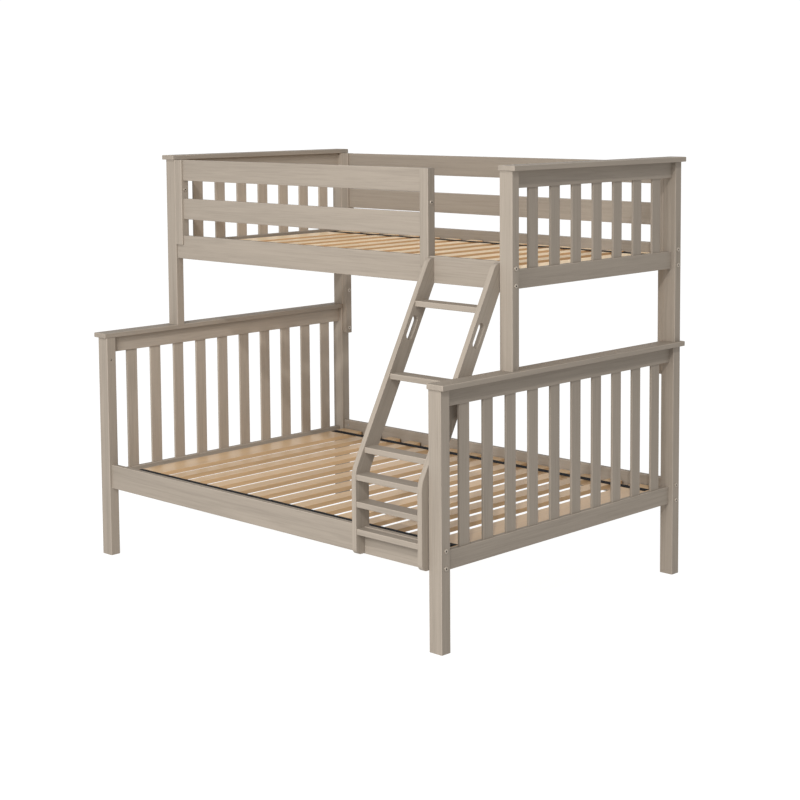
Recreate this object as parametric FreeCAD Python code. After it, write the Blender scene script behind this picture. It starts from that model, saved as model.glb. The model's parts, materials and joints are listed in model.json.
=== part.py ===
import FreeCAD, Part
import os
import math

V = FreeCAD.Vector
os.makedirs("parts", exist_ok=True)

# Twin over full bunk bed with a dog-leg ladder. Millimetres.
# X runs along the mattresses, Y runs across them with the ladder on the -Y side, Z is up.
# Depth sizes ("from front") count back from the outer face of the lower front posts.

# overall frame
length = 2036.0            # outer face to outer face of the end posts
width = 1460.0             # front face to back face of the lower posts
lower_cap_top = 980.0
upper_rail_rise = 301.0    # upper side rails' bottoms above the lower cap rails
upper_cap_rise = 461.0     # upper cap rails' tops above the upper side rails' bottoms
upper_setback = 390.0      # how far the upper front posts stand behind the lower ones
edge_round = 3.0           # long edges of the timber
fit = 0.1                  # clearance of a pin or bolt in its hole, on the radius

# posts
post_along = 62.0
lower_post_across = 47.0
upper_post_across = 40.0

# end panels
cap_thickness = 20.0
cap_outward = 18.0         # overhang past the outside of the posts
cap_endward = 9.0          # overhang past the front and back of the posts
panel_board = 22.0
panel_bottom_height = 72.0
panel_top_height = 66.0
panel_bottom_drop = 1.0    # end panel's bottom rail sits this much above the side rails' bottoms
slat_width = 55.0
slat_thickness = 10.0
slat_pitch = 130.0
slat_first = 153.0         # middle of the first slat from the front of the bed
slat_groove = 8.0

# side rails
rail_height = 104.0
rail_thickness = 24.0
lower_rail_bottom = 297.0

# mattress decks
deck_below_rail_top = 42.0
deck_slat_thickness = 17.5
deck_slat_width = 68.0
deck_end_slat_width = 128.0
deck_slat_count = 12       # between the two wide end slats
deck_end_clearance = 5.0
deck_side_clearance = 7.0
deck_corner = 9.0
cleat_across = 24.0
cleat_height = 30.0
strap_width = 38.0
strap_thickness = 1.5
strap_front_inset = 108.0  # strap's middle from the deck slats' front ends
strap_back_inset = 80.0

# guard rails of the upper bed
guard_board_height = 92.0
guard_board_thickness = 20.0
guard_board_gap = 80.0
stile_along = 45.0
stile_lap = 41.0           # how far the stile reaches down beside the rail
stile_fit = 0.5
stile_ladder_gap = 2.0     # between the free stile and the ladder

# boards that tie the upper back posts to the lower ones
joining_thickness = 25.0
joining_across = 34.0
joining_length = 442.0
joining_corner = 8.0
joining_drop = 2.0         # top of the board below the upper side rail
joining_step_in = 2.0      # board's front edge behind the upper post's front face
joining_bolt_rises = [25.0, 211.0, 403.0]   # bolts above the board's bottom

# ladder
ladder_inside = 314.0
stringer_thickness = 22.0
stringer_width = 68.0
ladder_post_gap = 2.0
ladder_tilt = 28.0         # degrees from upright
ladder_top_drop = 5.0      # stringer top below the upper rail's top
ladder_foot_rise = 3.0     # stringer foot above the lower rail's bottom
ladder_top_rounding = 0.93 # share of the stringer's top edge that is rounded away
ladder_foot_round = 24.0
ladder_bend_round = 110.0
ladder_rail_gap = 0.5
tread_thickness = 22.0
tread_recess = 2.0
# treads' tops, as shares of the height from the lower side rail's top to the upper one's bottom
tread_shares = [0.933, 0.635, 0.34, 0.231, 0.115]
bottom_tread_drop = 2.0    # lowest tread's top below the lower rail's top
handhold_length = 98.0
handhold_width = 34.0
handhold_drop = 160.0      # middle of the slot below the upper rail
spare_hole_radius = 2.5
spare_hole_depth = 9.0
spare_hole_drops = [423.0, 439.0]

# fixings
bolt_radius = 4.0
bolt_head_radius = 9.0
bolt_head_thickness = 3.0
bolt_socket = 6.0          # hexagon, across its flats
bolt_socket_depth = 2.5
bolt_low = 16.0            # lower bolt above the side rail's bottom
bolt_spacing = 64.0
barrel_radius = 6.0
barrel_length = 18.0
barrel_inset = 28.0        # barrel nut's axis from the rail's end
bolt_past_barrel = 8.0
dowel_radius = 5.0
dowel_length = 30.0
pin_radius = 5.0
pin_length = 80.0
screw_radius = 2.0
screw_head_radius = 4.0
screw_bite = 14.0          # cleat screws in the side rail
cleat_screw_count = 6
ladder_screw_bite = 20.0
guard_bolt_reach = 30.0    # guard and joining board bolts in the post behind them

# derived positions
half = length / 2
inner_end = half - post_along
upper_rail_bottom = lower_cap_top + upper_rail_rise
upper_cap_top = upper_rail_bottom + upper_cap_rise
lower_rail_recess = (lower_post_across - rail_thickness) / 2
upper_rail_recess = (upper_post_across - rail_thickness) / 2
lower_rail_top = lower_rail_bottom + rail_height
upper_rail_top = upper_rail_bottom + rail_height
lower_front_rail = lower_rail_recess
lower_back_rail = width - lower_rail_recess - rail_thickness
upper_front_rail = upper_setback + upper_rail_recess
upper_back_rail = width - upper_rail_recess - rail_thickness
lower_deck_top = lower_rail_top - deck_below_rail_top
upper_deck_top = upper_rail_top - deck_below_rail_top
lower_post_top = lower_cap_top - cap_thickness
upper_post_top = upper_cap_top - cap_thickness
tilt = math.radians(ladder_tilt)
stringer_depth = stringer_width / math.cos(tilt)
ladder_rise_by_rail = rail_height - ladder_top_drop
ladder_top_edge = stringer_depth - ladder_rise_by_rail * math.tan(tilt)
ladder_top_round = ladder_top_rounding * ladder_top_edge * math.tan(math.radians(90 + ladder_tilt) / 2)
ladder_back = lower_front_rail + rail_thickness
ladder_front = ladder_back - stringer_width
ladder_right_inner = inner_end - ladder_post_gap - stringer_thickness
ladder_left_inner = ladder_right_inner - ladder_inside
tread_room = upper_rail_bottom - lower_rail_top
tread_tops = [lower_rail_top + tread_room * share for share in tread_shares]
tread_tops.append(lower_rail_top - bottom_tread_drop)
front_guard_right_end = ladder_left_inner - stringer_thickness - stile_ladder_gap
front_from_middle = (ladder_front + width + cap_endward) / 2

ALONG = V(1, 0, 0)
ACROSS = V(0, 1, 0)
UP = V(0, 0, 1)


def box(x0, x1, y0, y1, z0, z1):
    return Part.makeBox(x1 - x0, y1 - y0, z1 - z0, V(x0, y0, z0))


def edges_along(shape, direction):
    found = []
    for edge in shape.Edges:
        run = edge.Vertexes[-1].Point.sub(edge.Vertexes[0].Point)
        if run.Length > 0 and abs(run.normalize().dot(direction)) > 0.999:
            found.append(edge)
    return found


def timber(x0, x1, y0, y1, z0, z1, direction, radius=edge_round):
    """Board with its long edges rounded, running along the given direction."""
    plain = box(x0, x1, y0, y1, z0, z1)
    return plain.makeFillet(radius, edges_along(plain, direction))


def rod(radius, rod_length, start, direction):
    return Part.makeCylinder(radius, rod_length, start, direction)


def cut(shape, holes):
    return shape.cut(holes) if holes else shape


def mirror_ends(shape):
    """The same piece at the other end of the bed."""
    return shape.mirror(V(0, 0, 0), ALONG)


def save(name, shapes):
    moved = []
    for shape in shapes:
        copy = shape.copy()
        copy.translate(V(0, -front_from_middle, 0))
        moved.append(copy)
    whole = moved[0] if len(moved) == 1 else Part.makeCompound(moved)
    whole.exportStep("parts/" + name + ".step")


def dowel(middle, direction):
    return rod(dowel_radius, dowel_length, middle.sub(direction * (dowel_length / 2)), direction)


def dowel_hole(middle, direction):
    reach = dowel_length / 2 + 1
    return rod(dowel_radius + fit, 2 * reach, middle.sub(direction * reach), direction)


def pin_hole(middle, direction):
    reach = pin_length / 2
    return rod(pin_radius + fit, 2 * reach + 2, middle.sub(direction * (reach + 1)), direction)


def hexagon_prism(across_flats, start, reach):
    corners = []
    for i in range(7):
        turn = math.radians(60 * i)
        radius = across_flats / math.sqrt(3)
        corners.append(start.add(V(0, radius * math.cos(turn), radius * math.sin(turn))))
    return Part.Face(Part.makePolygon(corners)).extrude(reach)


def socket_bolt(start, direction, shank_length):
    """Flat-headed bolt along X: start is where the head meets the wood, direction runs into it."""
    face = start.sub(direction * bolt_head_thickness)
    head = rod(bolt_head_radius, bolt_head_thickness, face, direction)
    head = head.makeFillet(bolt_head_thickness / 3, [outer_rim(head, start, direction)])
    shank = rod(bolt_radius, shank_length, start, direction)
    socket = hexagon_prism(bolt_socket, face.sub(direction), direction * (bolt_socket_depth + 1))
    return head.fuse(shank).cut(socket)


def outer_rim(head, start, direction):
    def depth(edge):
        return edge.CenterOfMass.sub(start).dot(direction)
    rounds = [edge for edge in head.Edges if edge.Closed]
    return min(rounds, key=depth)


# where the fixings go

def rail_bolt_points(rail_front, rail_bottom):
    """Bolt starts on the right-hand post's outer face for one side rail."""
    middle = rail_front + rail_thickness / 2
    low = rail_bottom + bolt_low
    return [V(half, middle, low), V(half, middle, low + bolt_spacing)]


side_rails = {
    "lower_front": (lower_front_rail, lower_rail_bottom, 1),
    "lower_back": (lower_back_rail, lower_rail_bottom, -1),
    "upper_front": (upper_front_rail, upper_rail_bottom, 1),
    "upper_back": (upper_back_rail, upper_rail_bottom, -1),
}
bolt_reach = post_along + barrel_inset + bolt_past_barrel


def right_bolts(which):
    front, bottom, inward = side_rails[which]
    return rail_bolt_points(front, bottom)


def barrel_start(point, which):
    front, bottom, inward = side_rails[which]
    inside_face = front + rail_thickness if inward > 0 else front
    return V(inner_end - barrel_inset, inside_face, point.z)


def bolt_hole(point):
    return rod(bolt_radius + fit, bolt_reach + 3, point.add(V(1, 0, 0)), V(-1, 0, 0))


def panel_dowels(front, back, bottom, height):
    """Dowels at both ends of one right-hand end panel board."""
    middle = half - post_along / 2
    spots = []
    for y in (front, back):
        for share in (0.25, 0.75):
            spots.append(V(middle, y, bottom + height * share))
    return spots


lower_panel = {
    "front": lower_post_across,
    "back": width - lower_post_across,
    "bottom": lower_rail_bottom + panel_bottom_drop,
    "top": lower_post_top - panel_top_height,
}
upper_panel = {
    "front": upper_setback + upper_post_across,
    "back": width - upper_post_across,
    "bottom": upper_rail_bottom + panel_bottom_drop,
    "top": upper_post_top - panel_top_height,
}
lower_panel["dowels"] = (
    panel_dowels(lower_panel["front"], lower_panel["back"], lower_panel["bottom"], panel_bottom_height)
    + panel_dowels(lower_panel["front"], lower_panel["back"], lower_panel["top"], panel_top_height)
)
upper_panel["dowels"] = (
    panel_dowels(upper_panel["front"], upper_panel["back"], upper_panel["bottom"], panel_bottom_height)
    + panel_dowels(upper_panel["front"], upper_panel["back"], upper_panel["top"], panel_top_height)
)
post_middle = half - post_along / 2
pin_offset = post_along / 4
lower_cap_dowels = [
    V(post_middle, lower_post_across / 2, lower_post_top),
    V(post_middle, width / 2, lower_post_top),
]
upper_cap_dowels = [
    V(post_middle, upper_setback + upper_post_across / 2, upper_post_top),
    V(post_middle, (upper_setback + width) / 2, upper_post_top),
    V(post_middle, width - upper_post_across / 2, upper_post_top),
]
# pins through the lower cap rail, under each upper post
stacking_middle = lower_cap_top - cap_thickness / 2
front_stacking = [V(post_middle, upper_setback + upper_post_across * share, stacking_middle)
                  for share in (0.25, 0.75)]
back_stacking = [V(post_middle + side * pin_offset, width - upper_post_across / 2, stacking_middle)
                 for side in (-1, 1)]


def guard_bolt_point(y_middle):
    height = upper_post_top - guard_board_height - guard_board_gap / 2
    return V(inner_end - stile_along, y_middle, height)


front_guard_bolt = guard_bolt_point(upper_setback + upper_post_across / 2)
back_guard_bolt = guard_bolt_point(width - upper_post_across / 2)
joining_front = width - upper_post_across + joining_step_in
joining_middle = joining_front + joining_across / 2
joining_top = upper_rail_bottom - joining_drop
joining_bottom = joining_top - joining_length
joining_bolts = [V(inner_end - joining_thickness, joining_middle, joining_bottom + rise)
                 for rise in joining_bolt_rises]


def inward_bolt_hole(point, through):
    return rod(bolt_radius + fit, through + guard_bolt_reach + 1, point.sub(V(1, 0, 0)), ALONG)


# end frames

def right_post(y0, across, z0, z1, holes):
    post = timber(inner_end, half, y0, y0 + across, z0, z1, UP)
    return cut(post, holes)


def right_lower_posts():
    dowels = [dowel_hole(p, ACROSS) for p in lower_panel["dowels"]]
    caps = [dowel_hole(p, UP) for p in lower_cap_dowels]
    pins = [pin_hole(p, UP) for p in back_stacking]
    front_holes = dowels + caps + [bolt_hole(p) for p in right_bolts("lower_front")]
    spare = V(inner_end - 1, lower_post_across / 2, joining_bottom + joining_bolt_rises[0])
    front_holes.append(rod(bolt_radius + fit, guard_bolt_reach + 1, spare, ALONG))
    back_holes = dowels + pins + [bolt_hole(p) for p in right_bolts("lower_back")]
    back_holes += [inward_bolt_hole(p, joining_thickness) for p in joining_bolts]
    front = right_post(0, lower_post_across, 0, lower_post_top, front_holes)
    back = right_post(width - lower_post_across, lower_post_across, 0, lower_post_top, back_holes)
    return front, back


def right_upper_posts():
    dowels = [dowel_hole(p, ACROSS) for p in upper_panel["dowels"]]
    caps = [dowel_hole(p, UP) for p in upper_cap_dowels]
    front_holes = dowels + caps + [bolt_hole(p) for p in right_bolts("upper_front")]
    front_holes += [pin_hole(p, UP) for p in front_stacking]
    front_holes.append(inward_bolt_hole(front_guard_bolt, stile_along))
    back_holes = dowels + caps + [bolt_hole(p) for p in right_bolts("upper_back")]
    back_holes += [pin_hole(p, UP) for p in back_stacking]
    back_holes += [inward_bolt_hole(p, joining_thickness) for p in joining_bolts]
    back_holes.append(inward_bolt_hole(back_guard_bolt, stile_along))
    front = right_post(upper_setback, upper_post_across, lower_cap_top, upper_post_top, front_holes)
    back_front = width - upper_post_across
    back = right_post(back_front, upper_post_across, lower_cap_top, upper_post_top, back_holes)
    return front, back


def right_cap(front, top, holes):
    cap = box(inner_end, half + cap_outward, front - cap_endward, width + cap_endward,
              top - cap_thickness, top)
    cap = cap.makeFillet(edge_round, cap.Edges)
    return cut(cap, holes)


def slat_starts(panel):
    """Front edges of the slats that fit in the panel; upper and lower slats stand in line."""
    starts = []
    y = slat_first - slat_width / 2
    while y + slat_width < panel["back"]:
        if y > panel["front"]:
            starts.append(y)
        y += slat_pitch
    return starts


def panel_slats(panel):
    bottom = panel["bottom"] + panel_bottom_height - slat_groove
    top = panel["top"] + slat_groove
    x0 = post_middle - slat_thickness / 2
    first = timber(x0, x0 + slat_thickness, 0, slat_width, bottom, top, UP, edge_round / 2)
    slats = []
    for y in slat_starts(panel):
        slat = first.copy()
        slat.translate(V(0, y, 0))
        slats.append(slat)
    return slats


def panel_rail(panel, bottom, height, extra_holes):
    x0 = post_middle - panel_board / 2
    rail = timber(x0, x0 + panel_board, panel["front"], panel["back"], bottom, bottom + height, ACROSS)
    holes = [dowel_hole(p, ACROSS) for p in panel["dowels"]]
    return cut(rail, holes + panel_slats(panel) + extra_holes)


# side rails and decks

def side_rail(which):
    front, bottom, inward = side_rails[which]
    rail = timber(-inner_end, inner_end, front, front + rail_thickness, bottom, bottom + rail_height, ALONG)
    holes = []
    for point in right_bolts(which):
        holes.append(bolt_hole(point))
        start = barrel_start(point, which)
        mouth = start.add(ACROSS * inward)
        holes.append(rod(barrel_radius + fit, barrel_length + 1, mouth, ACROSS * -inward))
    holes += [mirror_ends(hole) for hole in holes]
    holes += cleat_screws(which)
    if which == "upper_front":
        holes += ladder_screws()
    return cut(rail, holes)


def barrel_nuts(which):
    front, bottom, inward = side_rails[which]
    nuts = []
    for point in right_bolts(which):
        start = barrel_start(point, which)
        nut = rod(barrel_radius, barrel_length, start, ACROSS * -inward)
        slot = box(start.x - 4, start.x + 4, start.y - 1, start.y + 1, start.z - 0.6, start.z + 0.6)
        nut = nut.cut([bolt_hole(point), slot])
        nuts += [nut, mirror_ends(nut)]
    return nuts


def rail_bolts(which):
    bolts = []
    for point in right_bolts(which):
        bolt = socket_bolt(point, V(-1, 0, 0), bolt_reach)
        bolts += [bolt, mirror_ends(bolt)]
    return bolts


def cleat_spans():
    run = 2 * inner_end - 2 * deck_end_clearance
    return -run / 2, run / 2


def cleat_screws(which):
    front, bottom, inward = side_rails[which]
    face = front + rail_thickness + cleat_across if inward > 0 else front - cleat_across
    top = bottom + rail_height - deck_below_rail_top - deck_slat_thickness
    start, end = cleat_spans()
    step = (end - start) / cleat_screw_count
    into = ACROSS * -inward
    screws = []
    for i in range(cleat_screw_count):
        point = V(start + step * (i + 0.5), face, top - cleat_height / 2)
        head = Part.makeCone(screw_head_radius, screw_radius, screw_head_radius - screw_radius, point, into)
        screws.append(head.fuse(rod(screw_radius, cleat_across + screw_bite, point, into)).removeSplitter())
    return screws


def cleat(which):
    front, bottom, inward = side_rails[which]
    y0 = front + rail_thickness if inward > 0 else front - cleat_across
    top = bottom + rail_height - deck_below_rail_top - deck_slat_thickness
    start, end = cleat_spans()
    return cut(box(start, end, y0, y0 + cleat_across, top - cleat_height, top), cleat_screws(which))


def deck_slat(x0, x1, y0, y1, top):
    slat = box(x0, x1, y0, y1, top - deck_slat_thickness, top)
    slat = slat.makeFillet(deck_corner, edges_along(slat, UP))
    rim = [edge for edge in slat.Edges if edge.BoundBox.ZLength < 0.01]
    return slat.makeFillet(edge_round / 2, rim)


def deck_slats(front_rail, back_rail, top):
    y0 = front_rail + rail_thickness + deck_side_clearance
    y1 = back_rail - deck_side_clearance
    edge = inner_end - deck_end_clearance
    wide = deck_slat(edge - deck_end_slat_width, edge, y0, y1, top)
    slats = [mirror_ends(wide)]
    room = 2 * (edge - deck_end_slat_width)
    gap = (room - deck_slat_count * deck_slat_width) / (deck_slat_count + 1)
    first = deck_slat(0, deck_slat_width, y0, y1, top)
    for i in range(deck_slat_count):
        slat = first.copy()
        slat.translate(V(-room / 2 + gap + i * (gap + deck_slat_width), 0, 0))
        slats.append(slat)
    slats.append(wide)
    return slats


def deck_straps(front_rail, back_rail, top):
    edge = inner_end - deck_end_clearance
    front = front_rail + rail_thickness + deck_side_clearance + strap_front_inset
    back = back_rail - deck_side_clearance - strap_back_inset
    reach = edge - deck_corner
    straps = []
    for middle in (front, back):
        y0 = middle - strap_width / 2
        straps.append(box(-reach, reach, y0, y0 + strap_width, top, top + strap_thickness))
    return straps


# guard rails and joining boards

def guard_stile(x0, post_front, rail_front, holes):
    """Upright that straddles the side rail's top edge."""
    bottom = upper_rail_top - stile_lap
    stile = timber(x0, x0 + stile_along, post_front, post_front + upper_post_across,
                   bottom, upper_post_top, UP)
    slot = box(x0 - 1, x0 + stile_along + 1, rail_front - stile_fit,
               rail_front + rail_thickness + stile_fit, bottom - 1, upper_rail_top)
    return cut(stile, [slot] + holes)


def guard_boards(x0, x1, middle):
    y0 = middle - guard_board_thickness / 2
    y1 = y0 + guard_board_thickness
    top_bottom = upper_post_top - guard_board_height
    low_bottom = top_bottom - guard_board_gap - guard_board_height
    boards = []
    for bottom in (top_bottom, low_bottom):
        board = timber(x0, x1, y0, y1, bottom, bottom + guard_board_height, ALONG)
        boards.append(cut(board, [dowel_hole(p, ALONG) for p in guard_dowels(x0, x1, middle, bottom)]))
    return boards


def guard_dowels(x0, x1, middle, bottom):
    spots = []
    for x in (x0, x1):
        for share in (0.25, 0.75):
            spots.append(V(x, middle, bottom + guard_board_height * share))
    return spots


def all_guard_dowels(x0, x1, middle):
    top_bottom = upper_post_top - guard_board_height
    low_bottom = top_bottom - guard_board_gap - guard_board_height
    return guard_dowels(x0, x1, middle, top_bottom) + guard_dowels(x0, x1, middle, low_bottom)


def joining_board():
    x0 = inner_end - joining_thickness
    y1 = joining_front + joining_across
    board = box(x0, inner_end, joining_front, y1, joining_bottom, joining_top)
    front_ends = [edge for edge in edges_along(board, ALONG)
                  if abs(edge.CenterOfMass.y - joining_front) < 0.1]
    board = board.makeFillet(joining_corner, front_ends)
    return cut(board, [inward_bolt_hole(p, joining_thickness) for p in joining_bolts])


def inward_bolts(points, through):
    bolts = []
    for point in points:
        bolt = socket_bolt(point, ALONG, through + guard_bolt_reach)
        bolts += [bolt, mirror_ends(bolt)]
    return bolts


# ladder

def slope_back(z):
    """Depth of the tilted part's back edge at height z."""
    return upper_front_rail - (upper_rail_bottom - z) * math.tan(tilt)


def height_where_back_is(y):
    return upper_rail_bottom - (upper_front_rail - y) / math.tan(tilt)


def stringer_outline():
    top = upper_rail_top - ladder_top_drop
    foot = lower_rail_bottom + ladder_foot_rise
    back_bend = height_where_back_is(ladder_back)
    front_bend = height_where_back_is(ladder_front + stringer_depth)
    seat = lower_rail_top
    notch = lower_front_rail - ladder_rail_gap
    points = [
        V(0, ladder_front, foot),
        V(0, ladder_front, front_bend),
        V(0, slope_back(top) - stringer_depth, top),
        V(0, upper_front_rail, top),
        V(0, upper_front_rail, upper_rail_bottom),
        V(0, ladder_back, back_bend),
        V(0, ladder_back, seat),
        V(0, notch, seat),
        V(0, notch, foot),
    ]
    return points


def vertical_edge_at(shape, point):
    for edge in edges_along(shape, ALONG):
        if abs(edge.CenterOfMass.y - point.y) < 0.5 and abs(edge.CenterOfMass.z - point.z) < 0.5:
            return edge
    raise ValueError("no edge at that corner")


def stringer(x0, spare_face):
    points = stringer_outline()
    face = Part.Face(Part.makePolygon(points + [points[0]]))
    board = face.extrude(V(stringer_thickness, 0, 0))
    rounds = [
        (points[0], ladder_foot_round),
        (points[1], ladder_bend_round),
        (points[2], ladder_top_round),
        (points[5], ladder_bend_round),
    ]
    for point, radius in rounds:
        board = board.makeFillet(radius, [vertical_edge_at(board, point)])
    board.translate(V(x0, 0, 0))
    holes = [handhold(x0)] + ladder_screws() + [dowel_hole(p, ALONG) for p in tread_dowels()]
    start = x0 + stringer_thickness + 1 if spare_face > 0 else x0 - 1
    for drop in spare_hole_drops:
        z = upper_rail_bottom - drop
        spot = V(start, slope_back(z) - stringer_width / 4, z)
        holes.append(rod(spare_hole_radius, spare_hole_depth + 1, spot, ALONG * -spare_face))
    return cut(board, holes)


def handhold(x0):
    slot = box(x0 - 1, x0 + stringer_thickness + 1, -handhold_width / 2, handhold_width / 2,
               -handhold_length / 2, handhold_length / 2)
    slot = slot.makeFillet(handhold_width / 2 - 0.01, edges_along(slot, ALONG))
    slot.rotate(V(0, 0, 0), ALONG, -ladder_tilt)
    height = upper_rail_bottom - handhold_drop
    slot.translate(V(0, slope_back(height) - stringer_depth / 2, height))
    return slot


def tread_span(top):
    """Front and back of a tread whose top is at this height."""
    if top <= lower_rail_top:
        return ladder_front + tread_recess, lower_front_rail - ladder_rail_gap
    front = max(slope_back(top) - stringer_depth, ladder_front) + tread_recess
    back = max(slope_back(top - tread_thickness), ladder_back)
    return front, min(back, front + stringer_width + tread_recess)


def tread(top):
    front, back = tread_span(top)
    board = timber(ladder_left_inner, ladder_right_inner, front, back, top - tread_thickness, top, ALONG)
    return cut(board, [dowel_hole(p, ALONG) for p in tread_dowels()])


def tread_dowels():
    spots = []
    for top in tread_tops:
        front, back = tread_span(top)
        for share in (0.25, 0.75):
            for x in (ladder_left_inner, ladder_right_inner):
                spots.append(V(x, front + (back - front) * share, top - tread_thickness / 2))
    return spots


def ladder_screws():
    """Screws from inside the upper bed, through the side rail into each stringer's back edge."""
    screws = []
    back_face = upper_front_rail + rail_thickness
    between_bolts = upper_rail_bottom + bolt_low + bolt_spacing / 2
    head_depth = screw_head_radius - screw_radius
    forward = ACROSS * -1
    for middle in (ladder_left_inner - stringer_thickness / 2, ladder_right_inner + stringer_thickness / 2):
        point = V(middle, back_face, between_bolts)
        head = Part.makeCone(screw_head_radius, screw_radius, head_depth, point, forward)
        shank = rod(screw_radius, rail_thickness + ladder_screw_bite, point, forward)
        screws.append(head.fuse(shank).removeSplitter())
    return screws


# make and save every piece

def save_pair(name, shape):
    """name has a gap for the side: left_ or right_."""
    save(name.format("right"), [shape])
    save(name.format("left"), [mirror_ends(shape)])


front_post, back_post = right_lower_posts()
save_pair("lower_front_{}_post", front_post)
save_pair("lower_back_{}_post", back_post)
front_post, back_post = right_upper_posts()
save_pair("upper_front_{}_post", front_post)
save_pair("upper_back_{}_post", back_post)

lower_cap_holes = [dowel_hole(p, UP) for p in lower_cap_dowels]
lower_cap_holes += [pin_hole(p, UP) for p in front_stacking + back_stacking]
save_pair("lower_{}_cap_rail", right_cap(0, lower_cap_top, lower_cap_holes))
upper_top_holes = [dowel_hole(p, UP) for p in upper_cap_dowels]
save_pair("upper_{}_cap_rail", right_cap(upper_setback, upper_cap_top, upper_top_holes))

lower_top_holes = [dowel_hole(p, UP) for p in lower_cap_dowels]
lower_top_holes += [pin_hole(p, UP) for p in front_stacking]
panels = [("lower", lower_panel, lower_top_holes), ("upper", upper_panel, upper_top_holes)]
for level, panel, top_holes in panels:
    save_pair(level + "_{}_top_rail", panel_rail(panel, panel["top"], panel_top_height, top_holes))
    save_pair(level + "_{}_bottom_rail", panel_rail(panel, panel["bottom"], panel_bottom_height, []))
    slats = panel_slats(panel)
    save(level + "_right_panel_slats", slats)
    save(level + "_left_panel_slats", [mirror_ends(slat) for slat in slats])

for name in side_rails:
    save(name + "_side_rail", [side_rail(name)])
save("lower_cleats", [cleat("lower_front"), cleat("lower_back")])
save("upper_cleats", [cleat("upper_front"), cleat("upper_back")])
save("lower_deck_slats", deck_slats(lower_front_rail, lower_back_rail, lower_deck_top))
save("upper_deck_slats", deck_slats(upper_front_rail, upper_back_rail, upper_deck_top))
save("lower_deck_straps", deck_straps(lower_front_rail, lower_back_rail, lower_deck_top))
save("upper_deck_straps", deck_straps(upper_front_rail, upper_back_rail, upper_deck_top))

stile_x = inner_end - stile_along
front_middle = upper_setback + upper_post_across / 2
back_middle = width - upper_post_across / 2
front_span = (-stile_x, front_guard_right_end - stile_along)
back_span = (-stile_x, stile_x)
front_dowels = all_guard_dowels(front_span[0], front_span[1], front_middle)
back_dowels = all_guard_dowels(back_span[0], back_span[1], back_middle)
front_stile_holes = [dowel_hole(p, ALONG) for p in front_dowels]
back_stile_holes = [dowel_hole(p, ALONG) for p in back_dowels]

front_left_bolt = mirror_ends(inward_bolt_hole(front_guard_bolt, stile_along))
free_bolt_start = V(front_guard_right_end, front_middle, front_guard_bolt.z)
free_bolt = socket_bolt(free_bolt_start, V(-1, 0, 0), guard_bolt_reach)
free_bolt_mouth = free_bolt_start.add(V(1, 0, 0))
free_bolt_hole = rod(bolt_radius + fit, guard_bolt_reach + 2, free_bolt_mouth, V(-1, 0, 0))
save("front_guard_left_stile", [guard_stile(-inner_end, upper_setback, upper_front_rail,
                                            front_stile_holes + [front_left_bolt])])
save("front_guard_right_stile", [guard_stile(front_guard_right_end - stile_along, upper_setback,
                                             upper_front_rail, front_stile_holes + [free_bolt_hole])])
boards = guard_boards(front_span[0], front_span[1], front_middle)
save("front_guard_top_board", [boards[0]])
save("front_guard_lower_board", [boards[1]])
back_bolt_hole = inward_bolt_hole(back_guard_bolt, stile_along)
save_pair("back_guard_{}_stile", guard_stile(stile_x, width - upper_post_across, upper_back_rail,
                                             back_stile_holes + [back_bolt_hole]))
boards = guard_boards(back_span[0], back_span[1], back_middle)
save("back_guard_top_board", [boards[0]])
save("back_guard_lower_board", [boards[1]])
save_pair("{}_joining_board", joining_board())

save("ladder_left_stringer", [stringer(ladder_left_inner - stringer_thickness, -1)])
save("ladder_right_stringer", [stringer(ladder_right_inner, 1)])
for number, top in enumerate(tread_tops, 1):
    save("ladder_tread_%d" % number, [tread(top)])

save("side_rail_bolts", [bolt for name in side_rails for bolt in rail_bolts(name)])
save("barrel_nuts", [nut for name in side_rails for nut in barrel_nuts(name)])
save("joining_board_bolts", inward_bolts(joining_bolts, joining_thickness))
guard_bolts = inward_bolts([back_guard_bolt], stile_along)
guard_bolts.append(mirror_ends(socket_bolt(front_guard_bolt, ALONG, stile_along + guard_bolt_reach)))
guard_bolts.append(free_bolt)
save("guard_bolts", guard_bolts)
end_dowels = [dowel(p, ACROSS) for p in lower_panel["dowels"] + upper_panel["dowels"]]
end_dowels += [dowel(p, UP) for p in lower_cap_dowels + upper_cap_dowels]
dowels = end_dowels + [mirror_ends(piece) for piece in end_dowels]
dowels += [dowel(p, ALONG) for p in front_dowels + back_dowels + tread_dowels()]
save("wood_dowels", dowels)
pins = [rod(pin_radius, pin_length, p.sub(UP * (pin_length / 2)), UP) for p in front_stacking + back_stacking]
save("stacking_pins", pins + [mirror_ends(piece) for piece in pins])
save("cleat_screws", [screw for name in side_rails for screw in cleat_screws(name)])
save("ladder_screws", ladder_screws())
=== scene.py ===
import json
import math
import bmesh
import bpy
from mathutils import Matrix, Vector


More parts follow.
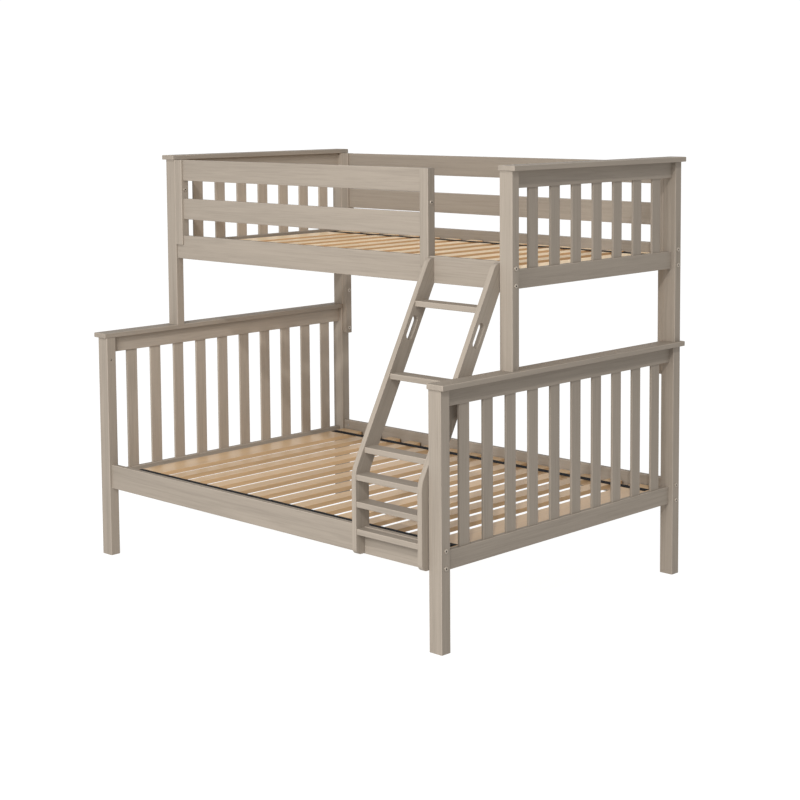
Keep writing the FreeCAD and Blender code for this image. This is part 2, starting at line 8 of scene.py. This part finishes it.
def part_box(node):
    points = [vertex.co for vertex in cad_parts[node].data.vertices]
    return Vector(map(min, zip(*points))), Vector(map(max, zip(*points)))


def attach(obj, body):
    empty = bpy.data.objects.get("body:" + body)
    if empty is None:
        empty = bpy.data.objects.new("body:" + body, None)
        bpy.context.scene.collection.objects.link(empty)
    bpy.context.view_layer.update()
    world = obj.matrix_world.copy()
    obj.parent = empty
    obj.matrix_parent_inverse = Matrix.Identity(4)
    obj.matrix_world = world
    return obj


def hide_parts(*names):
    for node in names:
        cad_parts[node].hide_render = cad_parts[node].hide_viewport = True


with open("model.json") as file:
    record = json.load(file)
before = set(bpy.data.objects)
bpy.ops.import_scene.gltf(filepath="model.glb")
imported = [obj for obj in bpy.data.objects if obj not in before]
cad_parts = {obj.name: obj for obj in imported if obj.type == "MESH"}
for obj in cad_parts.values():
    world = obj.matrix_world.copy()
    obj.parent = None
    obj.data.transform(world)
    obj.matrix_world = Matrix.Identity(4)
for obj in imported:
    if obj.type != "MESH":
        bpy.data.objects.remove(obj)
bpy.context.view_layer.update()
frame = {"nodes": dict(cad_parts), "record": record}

nodes = frame["nodes"]
print("frame loaded:", len(nodes), "pieces")


# shader maths: a wrapped socket, and one maker of nodes

class Wire:
    def __init__(self, finish, socket):
        self.finish = finish
        self.socket = socket

    def math(self, operation, *others, clamp=False):
        return self.finish.maths(operation, self, *others, clamp=clamp)

    def __add__(self, other):
        return self.math("ADD", other)

    def __sub__(self, other):
        return self.math("SUBTRACT", other)

    def __rsub__(self, other):
        return self.finish.maths("SUBTRACT", other, self)

    def __mul__(self, other):
        return self.math("MULTIPLY", other)

    def __truediv__(self, other):
        return self.math("DIVIDE", other)

    __radd__ = __add__
    __rmul__ = __mul__

    def clamped(self):
        return self.math("ADD", 0.0, clamp=True)


class Finish:
    def __init__(self, name):
        self.material = bpy.data.materials.new(name)
        self.material.use_nodes = True
        self.tree = self.material.node_tree
        self.surface = self.tree.nodes["Principled BSDF"]

    # any node: its type, its settings first, then what goes into its sockets
    def node(self, kind, settings=None, inputs=None, output=0):
        made = self.tree.nodes.new(kind)
        for key, value in (settings or {}).items():
            if key == "stops":
                self.fillRamp(made.color_ramp, value)
            else:
                setattr(made, key, value)
        for key, value in (inputs or {}).items():
            self.feed(made.inputs[key], value)
        return Wire(self, made.outputs[output])

    def fillRamp(self, ramp, stops):
        while len(ramp.elements) < len(stops):
            ramp.elements.new(1.0)
        for element, (place, colour) in zip(ramp.elements, stops):
            element.position = place
            element.color = (*colour, 1.0)

    def feed(self, socket, value):
        if isinstance(value, Wire):
            self.tree.links.new(value.socket, socket)
        else:
            socket.default_value = value

    def maths(self, operation, *values, clamp=False):
        settings = {"operation": operation, "use_clamp": clamp}
        return self.node("ShaderNodeMath", settings, dict(enumerate(values)))

    def smooth(self, value, low, high):
        return self.node("ShaderNodeMapRange", {"interpolation_type": "SMOOTHSTEP"},
                         {"Value": value, "From Min": low, "From Max": high})

    def colours(self, amount, first, second, blend="MIX"):
        return self.node("ShaderNodeMix", {"data_type": "RGBA", "blend_type": blend},
                         {0: amount, 6: first, 7: second}, output=2)

    def split(self, vector):
        parted = self.node("ShaderNodeSeparateXYZ", inputs={0: vector}).socket.node
        return [Wire(self, socket) for socket in parted.outputs]

    def join(self, x, y, z):
        return self.node("ShaderNodeCombineXYZ", inputs={0: x, 1: y, 2: z})

    def ramp(self, amount, stops):
        return self.node("ShaderNodeValToRGB", {"stops": stops}, {0: amount})

    def noise(self, vector, detail, roughness=0.5):
        return self.node("ShaderNodeTexNoise", {"noise_dimensions": "3D"},
                         {"Vector": vector, "Scale": 1.0, "Detail": detail, "Roughness": roughness})

    # noise that is equally fine along all three axes
    def evenNoise(self, place, waves, detail):
        return self.noise(self.join(*[part * waves for part in place]), detail)

    def chance(self, value):
        return self.node("ShaderNodeTexWhiteNoise", {"noise_dimensions": "1D"}, {"W": value})

    def place(self):
        return self.split(self.node("ShaderNodeTexCoord", output=3))

    def facing(self):
        return self.split(self.node("ShaderNodeNewGeometry", output=1))

    def bump(self, height, strength, distance):
        return self.node("ShaderNodeBump",
                         inputs={"Strength": strength, "Distance": distance, "Height": height})


def shade(linear):
    return (*linear, 1.0)


# wood: stained boards for the frame, clear-finished pine for the two decks

stainedWood = {
    "colour": (0.348, 0.297, 0.243),
    "darkStreak": 0.81,        # share of the colour in the darkest grain
    "lightStreak": 1.10,       # and in the lightest
    "roughness": 0.62,
    "shine": 0.25,
    "edgeHighlightAndWear": 1.30,         # painted highlight on the arrises, partly rubbed wear
    "endDark": 0.95,           # end grain
    "paintedTopShade": 0.80,           # painted shade on faces that look up
    "paintedSideShade": None,          # painted shade on faces that look along the bed
    "boardSpread": 0.06,       # difference from board to board
    "bumpDepth": 0.0003,
}
# the upper deck's pine: the same wood as the lower deck's, painted lighter for the light it gets
# from above
paintedLitPine = {
    "colour": (1.0, 0.77, 0.50),
    "darkStreak": 0.88,
    "lightStreak": 1.04,
    "roughness": 0.46,
    "shine": 0.3,
    "edgeHighlightAndWear": 0.97,
    "endDark": 0.80,
    "paintedTopShade": 1.0,
    "paintedSideShade": (0.74, 0.58, 0.44),
    "boardSpread": 0.14,
    "bumpDepth": 0.0002,
}
honeyPine = {
    "colour": (0.60, 0.425, 0.255),
    "darkStreak": 0.82,
    "lightStreak": 1.07,
    "roughness": 0.42,
    "shine": 0.3,
    "edgeHighlightAndWear": 0.95,
    "endDark": 0.80,
    "paintedTopShade": 1.0,
    "paintedSideShade": (0.95, 0.89, 0.81),
    "boardSpread": 0.16,
    "bumpDepth": 0.0002,
}


# layers of grain: how fine each is per metre along and across the grain, how soft,
# the range of its noise that shows, and its part in the tone (pores: in the darkening)
grainLayers = {
    "drift": {"along": 1.1, "across": 7.0, "detail": 2.0, "roughness": 0.5,
              "range": (0.3, 0.7), "part": 0.20},
    "figure": {"along": 1.6, "across": 46.0, "detail": 3.0, "roughness": 0.55,
               "range": (0.28, 0.72), "part": 0.28},
    "streak": {"along": 5.0, "across": 210.0, "detail": 3.0, "roughness": 0.6,
               "range": (0.25, 0.75), "part": 0.42},
    "pores": {"along": 26.0, "across": 900.0, "detail": 2.0, "roughness": 0.5,
              "range": (0.62, 0.74), "part": 0.08},
}
figureSway = 5.0           # how far the drift pushes the figure sideways
growthRings = {"across": 420.0, "waver": 0.03, "sway": 14.0, "part": 0.10}
boardShift = {"seed": 7.31, "along": 9.0, "deep": 3.0}      # keeps the grain of two boards apart
# how squarely a face must look one way, where each effect starts and where it is full
facesAt = {"flat": (0.80, 0.985), "end": (0.75, 0.95), "top": (0.90, 0.99), "side": (0.5, 0.9)}
# patches along the arrises where the painted highlight is fuller
edgeHighlightPatches = {"waves": 9.0, "detail": 3.0, "range": (0.30, 0.62), "least": 0.6}
stringer = {"edge": (0.02, 0.4), "ends": 0.3}               # its long edges slope above the bend
woodRough = {"streak": 0.16, "pit": 0.12, "arris": 0.05}
woodRelief = {"streak": 0.5, "figure": 0.3, "pit": 0.5, "rings": 0.1, "strength": 0.35}


def tinted(colour, share):
    return tuple(channel * share for channel in colour)


def grainNoise(f, wood, layer, sway=None):
    along, across, deep = wood
    side = across * layer["across"]
    if sway:
        side = side + sway
    place = f.join(along * layer["along"], side, deep * layer["across"])
    return f.noise(place, layer["detail"], layer["roughness"])


def woodFinish(name, look, grain, seed, boards=None, bend=None):
    f = Finish(name)
    x, y, z = f.place()
    if bend:
        y = y - f.maths("MAXIMUM", z - bend["height"], 0.0) * bend["slope"]
    along, across, deep = {"x": (x, y, z), "y": (y, x, z), "z": (z, x, y)}[grain]
    # several boards in one node: each has its own number, tone and grain
    number = seed * boardShift["seed"]
    if boards:
        place = boards["axis"](x, y, z) - boards["start"]
        number = f.maths("FLOOR", place / boards["pitch"]) + number
    luck = f.chance(number)
    along = along + luck * boardShift["along"] + seed
    deep = deep + luck * boardShift["deep"]

    wood, layers = (along, across, deep), grainLayers
    drift = grainNoise(f, wood, layers["drift"])
    figure = grainNoise(f, wood, layers["figure"], drift * figureSway)
    streak = grainNoise(f, wood, layers["streak"])
    pores = grainNoise(f, wood, layers["pores"])
    wave = (across + figure * growthRings["waver"]) * growthRings["across"]
    rings = f.maths("SINE", wave + drift * growthRings["sway"]) * 0.5 + 0.5
    tone = rings * growthRings["part"]
    for layer, noise in (("figure", figure), ("streak", streak), ("drift", drift)):
        tone = tone + f.smooth(noise, *layers[layer]["range"]) * layers[layer]["part"]
    pit = f.smooth(pores, *layers["pores"]["range"])
    colour = f.ramp(tone, [(0.0, tinted(look["colour"], look["darkStreak"])),
                           (0.5, look["colour"]),
                           (1.0, tinted(look["colour"], look["lightStreak"]))])

    faces = f.facing()
    # painted shade on faces that look up
    shadedTop = f.smooth(faces[2], *facesAt["top"])
    nx, ny, nz = [f.maths("ABSOLUTE", part) for part in faces]
    ends = f.smooth({"x": nx, "y": ny, "z": nz}[grain], *facesAt["end"])
    if bend:
        flat = f.maths("MAXIMUM", nx, 1 - f.smooth(nx, *stringer["edge"]))
        ends = ends * stringer["ends"]
    else:
        flat = f.maths("MAXIMUM", f.maths("MAXIMUM", nx, ny), nz)
    arris = 1 - f.smooth(flat, *facesAt["flat"])
    # painted highlight along the arrises, partly rubbed wear, fuller in patches
    highlightPatches = f.smooth(f.evenNoise((x, y, z), edgeHighlightPatches["waves"], edgeHighlightPatches["detail"]), *edgeHighlightPatches["range"])
    highlitAndWornEdge = arris * (edgeHighlightPatches["least"] + highlightPatches * (1 - edgeHighlightPatches["least"]))

    board = 1.0 - look["boardSpread"] / 2 + luck * look["boardSpread"]
    level = board * (1 - pit * layers["pores"]["part"]) * (1 + highlitAndWornEdge * (look["edgeHighlightAndWear"] - 1))
    level = level * (1 - ends * (1 - look["endDark"])) * (1 - shadedTop * (1 - look["paintedTopShade"]))
    shown = f.colours(1.0, colour, f.join(level, level, level), "MULTIPLY")
    # painted shade on the slats' faces that look along the bed
    if look["paintedSideShade"]:
        side = f.smooth(nx, *facesAt["side"])
        shown = f.colours(side, shown, shade(look["paintedSideShade"]), "MULTIPLY")
    f.feed(f.surface.inputs["Base Color"], shown)
    f.surface.inputs["Specular IOR Level"].default_value = look["shine"]
    rough = (look["roughness"] + (streak - 0.5) * woodRough["streak"]
             + pit * woodRough["pit"] - arris * woodRough["arris"])
    f.feed(f.surface.inputs["Roughness"], rough)
    relief = (streak * woodRelief["streak"] + figure * woodRelief["figure"]
              - pit * woodRelief["pit"] + rings * woodRelief["rings"])
    f.feed(f.surface.inputs["Normal"], f.bump(relief, woodRelief["strength"], look["bumpDepth"]))
    return f.material


steelLook = {
    "metallic": 0.85,
    "dull": 0.85,              # shares of the colour where it is tarnished and where it is clean
    "clean": 1.12,
    "cloudWaves": 60.0,
    "scuffWaves": 320.0,
    "roughSpread": 0.22,
    "bump": 0.2,
    "bumpDepth": 0.0001,
}


def metalFinish(name, colour, roughness):
    f = Finish(name)
    place = f.place()
    scuff = f.evenNoise(place, steelLook["scuffWaves"], detail=4.0)
    cloud = f.evenNoise(place, steelLook["cloudWaves"], detail=2.0)
    dull, clean = [shade(tinted(colour, steelLook[key])) for key in ("dull", "clean")]
    f.feed(f.surface.inputs["Base Color"], f.colours(cloud, dull, clean))
    f.surface.inputs["Metallic"].default_value = steelLook["metallic"]
    rough = roughness + (scuff - 0.5) * steelLook["roughSpread"]
    f.feed(f.surface.inputs["Roughness"], rough)
    relief = f.bump(scuff, steelLook["bump"], steelLook["bumpDepth"])
    f.feed(f.surface.inputs["Normal"], relief)
    return f.material


# herringbone ribs run along the tape, picks cross it: both in radians per metre
webbingLook = {
    "ribs": 3600.0,
    "picks": 2600.0,
    "ribShare": 0.45,
    "zigzag": 0.0034,          # width over which the picks lean one way
    "lean": 1700.0,
    "lintWaves": 300.0,
    "lintShare": 0.3,
    "stops": [(0.0, (0.004, 0.005, 0.006)),
              (0.6, (0.010, 0.011, 0.014)),
              (1.0, (0.024, 0.026, 0.031))],
    "shine": 0.12,
    "roughness": 0.72,
    "roughSpread": 0.2,
    "bump": 0.6,
    "bumpDepth": 0.0005,
}


def webbingFinish(name):
    f = Finish(name)
    look = webbingLook
    x, y, z = f.place()
    rib = f.maths("ABSOLUTE", f.maths("SINE", y * look["ribs"]))
    lean = f.maths("PINGPONG", y, look["zigzag"]) * look["lean"]
    pick = f.maths("ABSOLUTE", f.maths("SINE", x * look["picks"] + lean))
    weave = rib * look["ribShare"] + pick * (1 - look["ribShare"])
    lint = f.evenNoise((x, y, z), look["lintWaves"], detail=3.0)
    tone = (weave * (1 - look["lintShare"]) + lint * look["lintShare"]).clamped()
    f.feed(f.surface.inputs["Base Color"], f.ramp(tone, look["stops"]))
    f.surface.inputs["Specular IOR Level"].default_value = look["shine"]
    f.feed(f.surface.inputs["Roughness"], look["roughness"] + lint * look["roughSpread"])
    f.feed(f.surface.inputs["Normal"], f.bump(weave, look["bump"], look["bumpDepth"]))
    return f.material


grainOf = {
    "post": "z", "panel_slats": "z", "stile": "z", "joining_board": "z", "stringer": "z",
    "cap_rail": "y", "top_rail": "y", "bottom_rail": "y", "deck_slats": "y",
    "side_rail": "x", "guard_top_board": "x", "guard_lower_board": "x", "cleats": "x",
    "tread": "x",
}
panelSlats = {"pitch": 0.130, "width": 0.055}
deckSlats = {"pitch": 0.13185, "narrow": 0.068, "wide": 0.128, "count": 12}
# widths of the strips that each glued-up board shows
staves = {
    "post": 0.031, "stile": 0.0225, "side_rail": 0.052, "guard": 0.046, "bottom_rail": 0.036,
}
ladderBend = {"height": 0.599, "slope": math.tan(math.radians(28))}


def boardsIn(name, low, high):
    if "panel_slats" in name:
        lead = (panelSlats["pitch"] - panelSlats["width"]) / 2
        return {"axis": lambda x, y, z: y, "start": low.y - lead, "pitch": panelSlats["pitch"]}
    if "deck_slats" in name:
        first = -deckSlats["pitch"] * deckSlats["count"] / 2
        return {"axis": lambda x, y, z: x, "start": first, "pitch": deckSlats["pitch"]}
    if "cleats" in name:
        return {"axis": lambda x, y, z: y, "start": low.y, "pitch": (high.y - low.y) / 2}
    for part, pitch in staves.items():
        if part in name and part in ("post", "stile"):
            return {"axis": lambda x, y, z: x, "start": low.x, "pitch": pitch}
        if part in name:
            return {"axis": lambda x, y, z: z, "start": low.z, "pitch": pitch}
    return None


# painted light and shade: boards made lighter or darker than the rest for the light or shade they
# get
boardLightAndShade = {
    "lower_left_panel_slats": 1.17, "lower_left_top_rail": 1.18,
    "upper_left_panel_slats": 1.5, "upper_left_top_rail": 1.2,
    "back_guard_top": 0.92, "back_guard_lower": 1.07,
    "ladder_left_stringer": 1.08, "ladder_right_stringer": 1.03,
}


def woodFor(name, seed):
    grain = [way for part, way in grainOf.items() if part in name][0]
    low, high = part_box(name)
    look = stainedWood
    # the upper deck gets the pine with painted light
    if "deck_slats" in name or "cleats" in name:
        look = paintedLitPine if "upper" in name else honeyPine
    for part, tone in boardLightAndShade.items():
        if name.startswith(part):
            look = {**look, "colour": tinted(look["colour"], tone)}
    bend = ladderBend if "stringer" in name else None
    boards = boardsIn(name, low, high)
    return woodFinish(name + "_finish", look, grain, seed, boards, bend)


# the faces of each bolt's hexagon socket lie within this distance of the bolt's axis
socketReach = 0.0037


def separateSolids(work):
    left = set(work.verts)
    while left:
        solid = {left.pop()}
        edge = list(solid)
        while edge:
            for link in edge.pop().link_edges:
                for vert in link.verts:
                    if vert in left:
                        left.discard(vert)
                        solid.add(vert)
                        edge.append(vert)
        yield solid


# painted shade: the faces inside each bolt's hexagon socket are given the dark steel
def paintSocketShade(piece, socketShade):
    mesh = piece.data
    mesh.materials.append(socketShade)
    work = bmesh.new()
    work.from_mesh(mesh)
    for bolt in separateSolids(work):
        spots = {vert: piece.matrix_world @ vert.co for vert in bolt}
        midY, midZ = [(min(p[i] for p in spots.values()) + max(p[i] for p in spots.values())) / 2
                      for i in (1, 2)]
        inside = {vert for vert, p in spots.items()
                  if math.hypot(p.y - midY, p.z - midZ) < socketReach}
        for face in {face for vert in inside for face in vert.link_faces}:
            if inside.issuperset(face.verts):
                mesh.polygons[face.index].material_index = 1
    work.free()


brownedSteel = metalFinish("browned_steel", (0.50, 0.44, 0.37), 0.45)
brightSteel = metalFinish("bright_steel", (0.60, 0.59, 0.57), 0.30)
# dark steel for the staples, also painted shade inside the bolt sockets
darkSteelAndSocketShade = metalFinish("dark_steel_and_socket_shade", (0.045, 0.038, 0.032), 0.6)
blackWebbing = webbingFinish("black_webbing")
beech = woodFinish("beech_dowel", honeyPine, "z", 0.5)
hiddenSteel = ("barrel_nuts", "stacking_pins", "cleat_screws", "ladder_screws")

for seed, part in enumerate(frame["record"]["subparts"], 1):
    name, slot = part["node"], part["material_slot"]
    piece = nodes[name]
    if slot in ("stained_wood", "natural_pine"):
        material = woodFor(name, seed)
    elif slot == "steel":
        material = brightSteel if name in hiddenSteel else brownedSteel
    elif slot == "webbing":
        material = blackWebbing
    else:
        material = beech
    piece.data.materials.clear()
    piece.data.materials.append(material)
for name in ("side_rail_bolts", "joining_board_bolts", "guard_bolts"):
    paintSocketShade(nodes[name], darkSteelAndSocketShade)
print("finishes given to every piece")


# webbing that spaces the deck slats: a woven tape over the slats, slack between them, stapled down
tape = {
    "width": 0.038,
    "thick": 0.0013,
    "edgeRound": 0.0005,
    "slack": 0.0005,
    "step": 0.004,
    "wander": 0.0006,          # how far it strays from a straight line, and how it waves
    "wanderWave": 5.3,
    "wanderShift": 17,
}
staple = {"crown": 0.011, "wire": 0.0006, "sides": 8, "apart": 0.016, "sunk": 0.0001}


def deckSpans(name):
    # start and end along X of every slat of a deck
    low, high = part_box(name)
    wide, narrow, count = deckSlats["wide"], deckSlats["narrow"], deckSlats["count"]
    room = high.x - low.x - 2 * wide
    gap = (room - count * narrow) / (count + 1)
    spans = [(low.x, low.x + wide)]
    for i in range(count):
        start = low.x + wide + gap + i * (gap + narrow)
        spans.append((start, start + narrow))
    spans.append((high.x - wide, high.x))
    return spans


def slackAt(x, spans):
    for before, after in zip(spans, spans[1:]):
        start, end = before[1], after[0]
        if start < x < end:
            return tape["slack"] * math.sin(math.pi * (x - start) / (end - start)) ** 2
    return 0.0


def tapeMesh(name, x0, x1, y0, bottom, spans):
    wide, thick, soft = tape["width"], tape["thick"], tape["edgeRound"]
    ring = [(0, soft), (soft, 0), (wide / 2, 0), (wide - soft, 0), (wide, soft),
            (wide, thick - soft), (wide - soft, thick), (wide / 2, thick), (soft, thick),
            (0, thick - soft)]
    count = round((x1 - x0) / tape["step"])
    points, faces = [], []
    for i in range(count + 1):
        x = x0 + (x1 - x0) * i / count
        drop = slackAt(x, spans)
        wander = tape["wander"] * math.sin(x * tape["wanderWave"] + y0 * tape["wanderShift"])
        points += [(x, y0 + wander + y, bottom + z - drop) for y, z in ring]
    n = len(ring)
    for i in range(count):
        for j in range(n):
            a, b = i * n + j, i * n + (j + 1) % n
            faces.append((a, a + n, b + n, b))
    faces.append(tuple(range(n)))
    faces.append(tuple(count * n + j for j in reversed(range(n))))
    mesh = bpy.data.meshes.new(name)
    mesh.from_pydata(points, [], faces)
    mesh.update()
    for face in mesh.polygons:
        face.use_smooth = True
    return mesh


def addPiece(name, mesh, material):
    piece = bpy.data.objects.new(name, mesh)
    bpy.context.scene.collection.objects.link(piece)
    mesh.materials.append(material)
    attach(piece, "root")
    return piece


def stapleMesh(name, spots, top):
    work = bmesh.new()
    wire, height = staple["wire"], top + staple["wire"] - staple["sunk"]
    lying = Matrix.Rotation(math.pi / 2, 4, "X")
    for x, y in spots:
        bmesh.ops.create_cone(work, cap_ends=True, segments=staple["sides"],
                              radius1=wire, radius2=wire, depth=staple["crown"],
                              matrix=Matrix.Translation((x, y, height)) @ lying)
    mesh = bpy.data.meshes.new(name)
    work.to_mesh(mesh)
    work.free()
    return mesh


for level in ("lower", "upper"):
    low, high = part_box(level + "_deck_straps")
    spans = deckSpans(level + "_deck_slats")
    spots = []
    for side, y0 in (("front", low.y), ("back", high.y - tape["width"])):
        name = level + "_" + side + "_webbing"
        mesh = tapeMesh(name, low.x, high.x, y0, low.z, spans)
        webbing = addPiece(name, mesh, blackWebbing)
        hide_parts(level + "_deck_straps")
        for start, end in spans:
            middle = min(max((start + end) / 2, low.x + staple["apart"]), high.x - staple["apart"])
            for shift in (-0.5, 0.5):
                spots.append((middle + shift * staple["apart"], y0 + tape["width"] / 2))
    staples = stapleMesh(level + "_staples", spots, low.z + tape["thick"])
    addPiece(level + "_staples", staples, darkSteelAndSocketShade)
print("webbing laid over both decks")


# floor, light and camera

floorLook = {
    "size": 40.0,
    "albedo": (0.16, 0.16, 0.16),
    "roughness": 0.9,
    "glow": 0.95,
    "bounce": 0.60,            # how white it is for light that the bed gets back from it
}


def makeFloor():
    half = floorLook["size"]
    corners = [(-half, -half, 0), (half, -half, 0), (half, half, 0), (-half, half, 0)]
    mesh = bpy.data.meshes.new("studio_floor")
    mesh.from_pydata(corners, [], [(0, 1, 2, 3)])
    floor = bpy.data.objects.new("studio_floor", mesh)
    bpy.context.scene.collection.objects.link(floor)
    f = Finish("pale_floor")
    f.surface.inputs["Base Color"].default_value = shade(floorLook["albedo"])
    f.surface.inputs["Roughness"].default_value = floorLook["roughness"]
    f.surface.inputs["Specular IOR Level"].default_value = 0.0
    seen = f.node("ShaderNodeLightPath")
    bounce = tinted((1.0, 1.0, 1.0), floorLook["bounce"])
    f.feed(f.surface.inputs["Emission Color"], f.colours(seen, shade(bounce), (1, 1, 1, 1)))
    f.surface.inputs["Emission Strength"].default_value = floorLook["glow"]
    mesh.materials.append(f.material)


studio = {
    "skyLight": 0.42,          # what lights the bed
    "skySeen": 1.05,           # what shows behind it and in shine
    "keyFrom": (1.2, -5.1, 2.9),
    "keySize": 2.6,
    "keyPower": 188.0,
    "aim": (0.0, 0.0, 0.9),
    "sunAzimuth": 38.0,        # degrees right of the front
    "sunHeight": 42.0,         # degrees above the floor
    "sunWidth": 2.0,
    "sunPower": 0.88,
    "sunAway": 10.0,
}


def addLight(data, place, away):
    light = bpy.data.objects.new(data.name, data)
    light.location = place
    light.rotation_euler = away.to_track_quat("Z", "Y").to_euler()
    bpy.context.scene.collection.objects.link(light)


def makeSky():
    world = bpy.data.worlds.new("studio_sky")
    bpy.context.scene.world = world
    world.use_nodes = True
    tree = world.node_tree
    tree.nodes.clear()
    light, seen = [tree.nodes.new("ShaderNodeBackground") for _ in range(2)]
    for sky, strength in ((light, studio["skyLight"]), (seen, studio["skySeen"])):
        sky.inputs["Color"].default_value = (1, 1, 1, 1)
        sky.inputs["Strength"].default_value = strength
    pick = tree.nodes.new("ShaderNodeMixShader")
    path = tree.nodes.new("ShaderNodeLightPath")
    bright = tree.nodes.new("ShaderNodeMath")
    bright.operation = "MAXIMUM"
    out = tree.nodes.new("ShaderNodeOutputWorld")
    tree.links.new(path.outputs["Is Camera Ray"], bright.inputs[0])
    tree.links.new(path.outputs["Is Glossy Ray"], bright.inputs[1])
    tree.links.new(bright.outputs[0], pick.inputs[0])
    tree.links.new(light.outputs[0], pick.inputs[1])
    tree.links.new(seen.outputs[0], pick.inputs[2])
    tree.links.new(pick.outputs[0], out.inputs[0])


# unit vector at these angles right of the front and above the floor
def towards(right, above):
    level = math.cos(above)
    return Vector((math.sin(right) * level, -math.cos(right) * level, math.sin(above)))


def makeLights():
    data = bpy.data.lights.new("key", "AREA")
    data.shape = "DISK"
    data.size = studio["keySize"]
    data.energy = studio["keyPower"]
    place = Vector(studio["keyFrom"])
    addLight(data, place, place - Vector(studio["aim"]))
    toSun = towards(math.radians(studio["sunAzimuth"]), math.radians(studio["sunHeight"]))
    data = bpy.data.lights.new("sun", "SUN")
    data.angle = math.radians(studio["sunWidth"])
    data.energy = studio["sunPower"]
    addLight(data, toSun * studio["sunAway"], toSun)


view = {
    "from": (5.0434, -5.0556, 1.9936),
    "azimuth": 44.2178,
    "elevation": 5.1507,
    "roll": -0.4052,
    "lens": 76.314,
    "sensor": 36.0,
    "rise": -0.1875,
    "farthest": 100.0,
}


def makeCamera():
    turn, dip, roll = [math.radians(view[key]) for key in ("azimuth", "elevation", "roll")]
    back = towards(turn, dip)
    right = Vector((math.cos(turn), math.sin(turn), 0))
    up = back.cross(right)
    side = math.cos(roll) * right + math.sin(roll) * up
    top = math.cos(roll) * up - math.sin(roll) * right
    data = bpy.data.cameras.new("camera")
    data.lens = view["lens"]
    data.sensor_width = view["sensor"]
    data.shift_y = view["rise"]
    data.clip_end = view["farthest"]
    camera = bpy.data.objects.new("camera", data)
    facing = Matrix((side, top, back)).transposed()
    camera.matrix_world = Matrix.LocRotScale(Vector(view["from"]), facing, None)
    bpy.context.scene.collection.objects.link(camera)
    bpy.context.scene.camera = camera


makeFloor()
makeSky()
makeLights()
makeCamera()
bpy.context.scene.view_settings.view_transform = "Standard"
print("floor, light and camera ready")
